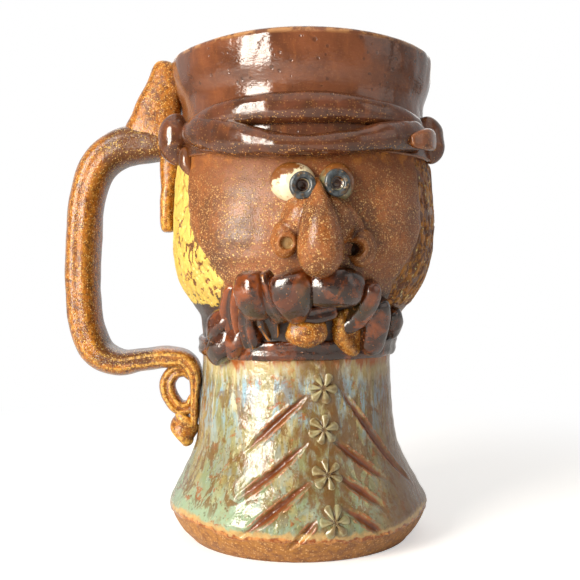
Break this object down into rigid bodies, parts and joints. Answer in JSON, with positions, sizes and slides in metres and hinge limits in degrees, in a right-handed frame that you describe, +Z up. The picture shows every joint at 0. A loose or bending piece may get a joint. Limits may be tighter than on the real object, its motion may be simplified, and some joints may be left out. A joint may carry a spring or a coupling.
{
  "type": "face mug",
  "caption": "Handmade stoneware mug shaped as a moustached head in a flat cap on a buttoned chest, with a pulled strap handle at its side.",
  "frame": {"origin": "middle of the flat foot, on the surface that the mug stands on", "axes": "+Z up through the mouth; the face looks along -Y, turned a little to +X; the handle stands out along -X"},
  "size_m": [0.1317, 0.1069, 0.1648],
  "materials": {
    "body_glaze": "mottled green-grey and brown stoneware glaze, unglazed foot",
    "cap_glaze": "glossy red-brown glaze",
    "hair_slip": "satin yellow slip with scratches and brown patches",
    "treacle_glaze": "very glossy dark brown glaze",
    "amber_glaze": "glossy speckled amber glaze",
    "eye_glaze": "glossy cream glaze",
    "iris_glaze": "glossy blue-grey glaze",
    "face_glaze": "satin speckled brown glaze",
    "button_glaze": "mottled celadon glaze"
  },
  "bodies": {
    "root": {"body": "body_glaze", "cap_band": "cap_glaze", "cap_roll": "cap_glaze", "cap_peak": "cap_glaze", "cap_knot_left": "cap_glaze", "cap_knot_right": "cap_glaze", "cap_tail_left": "cap_glaze", "cap_fold_right": "cap_glaze", "hair_left": "hair_slip", "hair_right": "hair_slip", "collar": "treacle_glaze", "handle": "amber_glaze", "thumb_rest": "amber_glaze", "handle_top_strip": "amber_glaze", "handle_curl": "amber_glaze", "handle_tail": "amber_glaze", "eye_left": "eye_glaze", "eye_right": "eye_glaze", "iris_left": "iris_glaze", "iris_right": "iris_glaze", "nose": "face_glaze", "nose_wing_left": "face_glaze", "nose_wing_right": "face_glaze", "lip_lower": "amber_glaze", "lip_upper": "treacle_glaze", "moustache_left_1": "treacle_glaze", "moustache_left_2": "treacle_glaze", "moustache_left_3": "treacle_glaze", "moustache_left_4": "treacle_glaze", "moustache_left_5": "treacle_glaze", "moustache_left_6": "amber_glaze", "moustache_right_1": "treacle_glaze", "moustache_right_2": "treacle_glaze", "moustache_right_3": "amber_glaze", "moustache_right_4": "treacle_glaze", "beard_left_1": "treacle_glaze", "beard_left_2": "treacle_glaze", "beard_left_3": "treacle_glaze", "beard_right_1": "treacle_glaze", "button_1": "button_glaze", "button_2": "button_glaze", "button_3": "button_glaze", "button_4": "button_glaze"}
  },
  "joints": []
}
